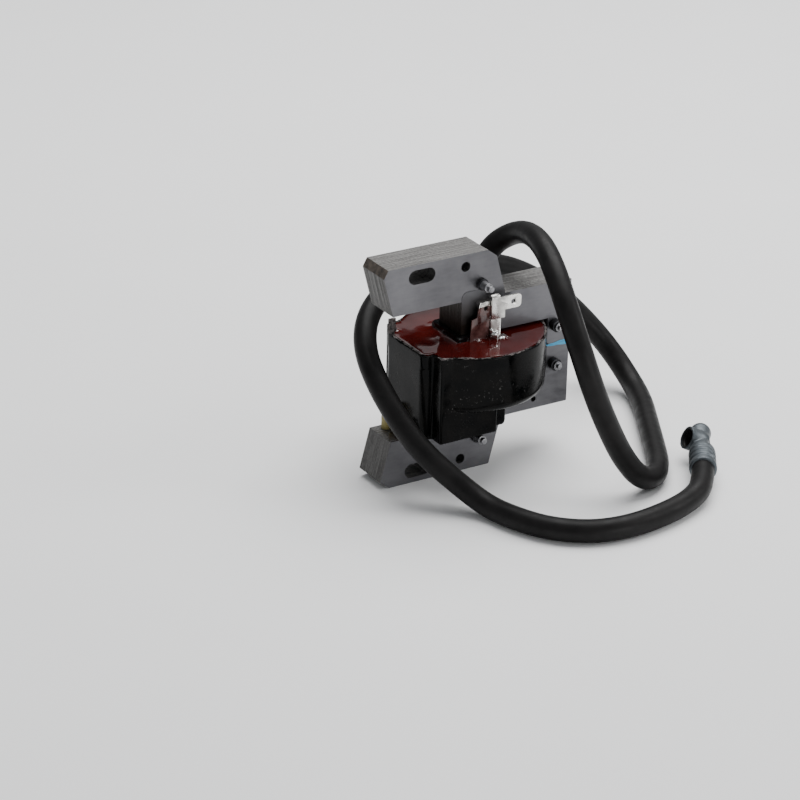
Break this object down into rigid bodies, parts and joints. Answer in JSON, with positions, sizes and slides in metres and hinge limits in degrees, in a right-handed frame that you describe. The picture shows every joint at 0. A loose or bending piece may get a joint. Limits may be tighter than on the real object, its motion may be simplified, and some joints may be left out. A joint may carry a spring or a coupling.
{
  "type": "magneto ignition coil",
  "caption": "Small-engine ignition coil: riveted C-shaped lamination stack through a potted coil, with a long high-tension lead ending in a metal elbow plug terminal.",
  "frame": {"origin": "bottom centre of the coil without its lead, on the outer face of the lower pole leg", "axes": "+X from the flywheel side to the yoke column, +Y to the side where the lead leaves the coil, +Z from the lower pole leg to the upper one"},
  "size_m": [0.1289, 0.1188, 0.0854],
  "materials": {
    "lamination": "satin, clear varnish",
    "rivet_steel": "bright turned steel",
    "shell_plastic": "black moulded plastic, slightly glossy",
    "potting_resin": "deep red glossy resin",
    "bobbin_plastic": "black",
    "copper_wire": "enamelled copper wire",
    "fine_copper_wire": "fine enamelled copper wire",
    "insulation_film": "yellowish film",
    "module_plastic": "black",
    "tinned_sheet": "tin-plated, dull bright",
    "solder": "bright solder",
    "yellow_sleeve": "yellow sleeve",
    "tinned_wire": "tinned wire",
    "brown_pad": "dark brown",
    "lead_rubber": "black satin rubber",
    "lead_strands": "stranded wire",
    "grommet_resin": "dark red",
    "zinc_plate": "zinc grey, satin",
    "liner_rubber": "black",
    "spring_steel": "spring steel"
  },
  "bodies": {
    "root": {"upper_pole_leg": "lamination", "lower_pole_leg": "lamination", "core_leg": "lamination", "upper_yoke_half": "lamination", "lower_yoke_half": "lamination", "pole_rivets": "rivet_steel", "yoke_rivets": "rivet_steel", "coil_shell": "shell_plastic", "epoxy_potting": "potting_resin", "bobbin": "bobbin_plastic", "primary_winding": "copper_wire", "secondary_winding": "fine_copper_wire", "winding_insulation": "insulation_film", "outer_wrap": "insulation_film", "trigger_module": "module_plastic", "switch_transistor": "module_plastic", "ground_strap": "tinned_sheet", "stop_terminal": "tinned_sheet", "solder_joint": "solder", "ground_sleeve": "yellow_sleeve", "ground_wire": "tinned_wire", "seat_pad": "brown_pad", "ht_lead": "lead_rubber", "lead_conductor": "lead_strands", "lead_grommet": "grommet_resin", "output_contact": "tinned_wire", "plug_terminal": "zinc_plate", "terminal_liner": "liner_rubber", "terminal_clip": "spring_steel"}
  },
  "joints": []
}
